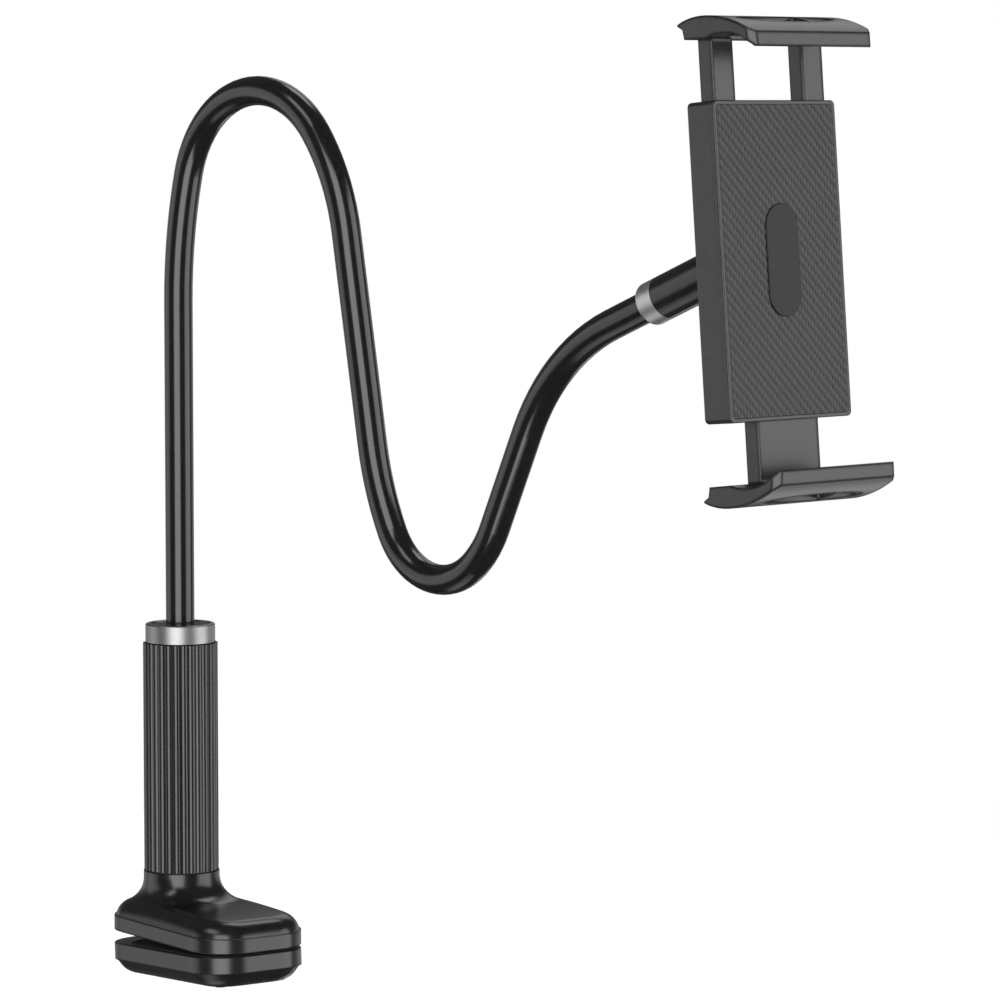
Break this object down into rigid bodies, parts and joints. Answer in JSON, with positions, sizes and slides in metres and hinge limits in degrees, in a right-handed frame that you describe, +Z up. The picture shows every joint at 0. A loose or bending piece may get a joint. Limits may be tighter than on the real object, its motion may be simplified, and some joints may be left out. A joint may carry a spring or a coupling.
{
  "type": "phone gooseneck holder",
  "caption": "Desk-clamp phone holder: a bent gooseneck arm rises from a screw-up jaw clamp with a ridged handle to a sprung cradle on a ball joint.",
  "frame": {"origin": "where the handle's axis meets the upper jaw's gripping face, which sits on the desk top", "axes": "+Z up along the handle, +X out along the arm's plane towards the side the cradle faces, +Y across the cradle"},
  "size_m": [0.4023, 0.0651, 0.3998],
  "materials": {
    "boot_black": "glossy moulded",
    "handle_black": "satin moulded",
    "arm_black": "smooth extruded skin",
    "band_grey": "satin moulded",
    "box_grey": "fine matt",
    "claw_grey": "fine matt",
    "panel": "diagonal weave look",
    "badge": "plain satin",
    "silver_ring": "satin turned",
    "steel": "plain",
    "aluminium": "drawn tube",
    "brass": "turned",
    "rubber": "matt"
  },
  "bodies": {
    "base": {"upper_jaw_cover": "boot_black", "upper_jaw_plate": "band_grey", "upper_pad": "rubber", "upper_jaw_screws": "steel", "clamp_column": "aluminium", "lower_washer": "steel", "upper_washer": "steel", "top_collar": "silver_ring", "collar_cap": "boot_black", "lower_ferrule": "brass", "gooseneck_core": "steel", "gooseneck_sheath": "arm_black", "end_ferrule": "brass", "end_ring": "silver_ring"},
    "handle": {"handle": "handle_black"},
    "lower_jaw": {"drive_carriage": "handle_black", "pull_rod": "steel", "lower_jaw_plate": "band_grey", "lower_pad": "rubber", "rod_bolt": "steel", "lower_jaw_shell": "boot_black", "lower_jaw_screws": "steel"},
    "socket": {"socket_sleeve": "handle_black"},
    "stud": {"ball_stud": "steel", "stud_clip": "steel"},
    "cradle": {"rear_housing": "box_grey", "front_cover": "box_grey", "front_panel": "panel", "front_badge": "badge", "housing_screws": "steel", "spring_reels": "steel"},
    "upper_claw": {"upper_claw": "claw_grey", "upper_claw_liner": "rubber"},
    "lower_claw": {"lower_claw": "claw_grey", "lower_claw_liner": "rubber"}
  },
  "joints": [
    {"name": "handle_turn", "type": "hinge", "parent": "base", "child": "handle", "pos_m": [0, 0, 0.074], "axis": [0, 0, 1], "range_deg": [0, 1801]},
    {"name": "jaw_slide", "type": "slide", "parent": "base", "child": "lower_jaw", "axis": [0, 0, -1], "range_m": [0, 0.05]},
    {"name": "socket_turn", "type": "hinge", "parent": "base", "child": "socket", "pos_m": [0.32027, 0, 0.29002], "axis": [0.9298, 0, 0.3681], "continuous": true},
    {"name": "ball_tilt", "type": "hinge", "parent": "socket", "child": "stud", "pos_m": [0.32027, 0, 0.29002], "axis": [0, 1, 0], "range_deg": [-54, 20]},
    {"name": "cradle_roll", "type": "hinge", "parent": "stud", "child": "cradle", "pos_m": [0.32027, 0, 0.29002], "axis": [0.9965, 0, 0.0837], "continuous": true},
    {"name": "upper_claw_slide", "type": "slide", "parent": "cradle", "child": "upper_claw", "axis": [-0.0837, 0, 0.9965], "range_m": [-0.021, 0.015], "stiffness_N_per_m": 60, "springref_m": -0.035},
    {"name": "lower_claw_slide", "type": "slide", "parent": "cradle", "child": "lower_claw", "axis": [0.0837, 0, -0.9965], "range_m": [-0.021, 0.015], "stiffness_N_per_m": 60, "springref_m": -0.035}
  ],
  "couplings": [
    {"joint": "handle_turn", "follows": "jaw_slide", "rad_per_m": 628.32}
  ]
}
